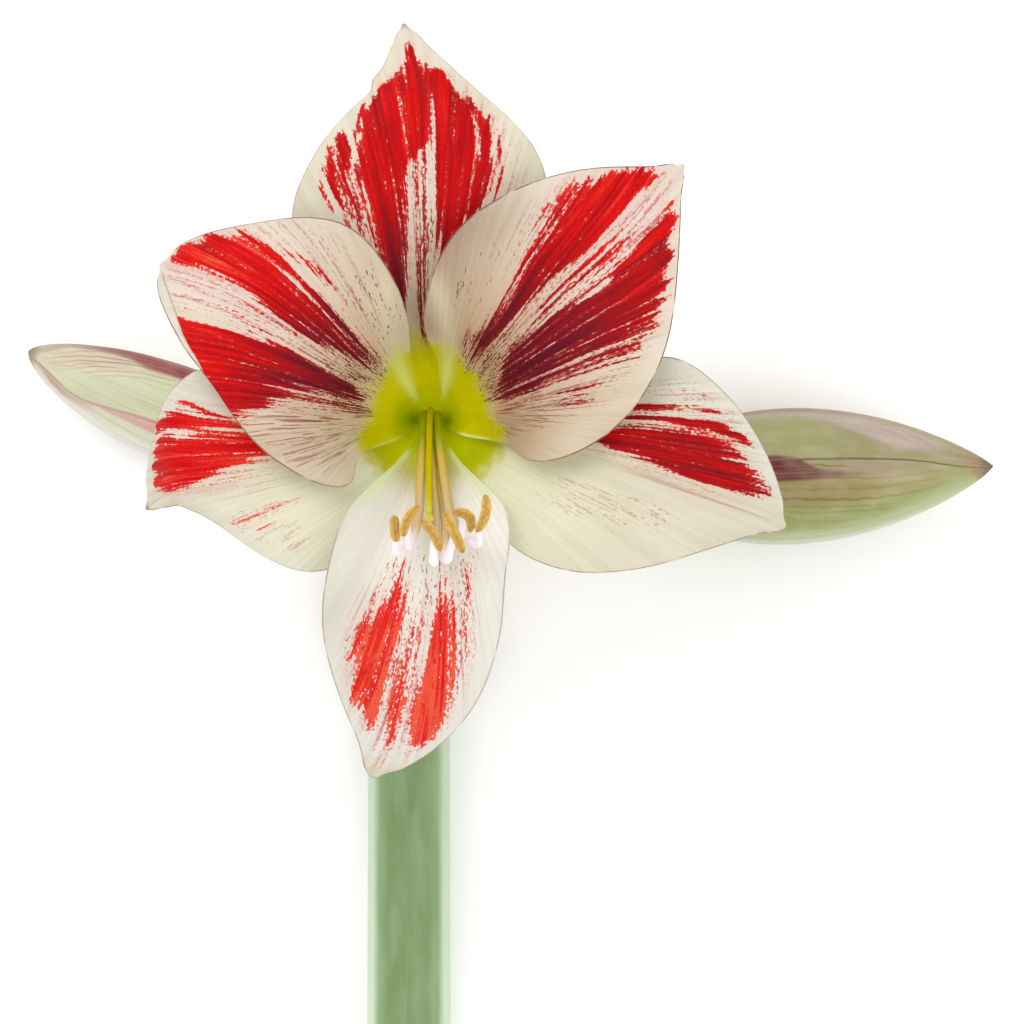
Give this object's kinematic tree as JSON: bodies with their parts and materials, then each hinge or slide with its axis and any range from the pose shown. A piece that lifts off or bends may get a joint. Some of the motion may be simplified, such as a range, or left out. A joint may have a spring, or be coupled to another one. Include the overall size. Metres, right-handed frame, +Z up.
{
  "type": "amaryllis flower stem",
  "caption": "Cut amaryllis stem lying down: an open white bloom streaked with red, buds at each side, and a hollow green scape.",
  "frame": {"origin": "on the table, on the flat underside of the scape near its head, under the scape's axis", "axes": "+Y along the scape from its cut end towards the bloom, +Z up out of the table and the way the bloom faces, +X to the right of the bloom seen from above"},
  "size_m": [0.2585, 0.4291, 0.1347],
  "materials": {
    "scape_green": "smooth waxy green",
    "stalk_green": "smooth waxy green",
    "spathe_brown": "dry and papery",
    "throat_green": "satin yellow-green",
    "tepal_streaked": "cream white streaked with red, satin",
    "bud_green": "pale green with wine-red seams, satin",
    "filament": "satin, white at the tips",
    "pollen": "powdery golden pollen",
    "style": "satin yellow-green"
  },
  "bodies": {
    "root": {"scape": "scape_green", "spathe_valve_left": "spathe_brown", "spathe_valve_right": "spathe_brown", "bloom_pedicel": "stalk_green", "bloom_ovary": "stalk_green", "perianth_tube": "throat_green", "tepal_top": "tepal_streaked", "tepal_upper_right": "tepal_streaked", "tepal_upper_left": "tepal_streaked", "tepal_lower_left": "tepal_streaked", "tepal_lower_right": "tepal_streaked", "tepal_bottom": "tepal_streaked", "filament_1": "filament", "filament_2": "filament", "filament_3": "filament", "filament_4": "filament", "filament_5": "filament", "filament_6": "filament", "anther_1": "pollen", "anther_2": "pollen", "anther_3": "pollen", "anther_4": "pollen", "anther_5": "pollen", "anther_6": "pollen", "style": "style", "stigma": "filament", "bud_left_pedicel": "stalk_green", "bud_left_ovary": "stalk_green", "bud_left_outer_tepal_1": "bud_green", "bud_left_outer_tepal_2": "bud_green", "bud_left_outer_tepal_3": "bud_green", "bud_left_inner_tepals": "bud_green", "bud_right_pedicel": "stalk_green", "bud_right_ovary": "stalk_green", "bud_right_outer_tepal_1": "bud_green", "bud_right_outer_tepal_2": "bud_green", "bud_right_outer_tepal_3": "bud_green", "bud_right_inner_tepals": "bud_green"}
  },
  "joints": []
}
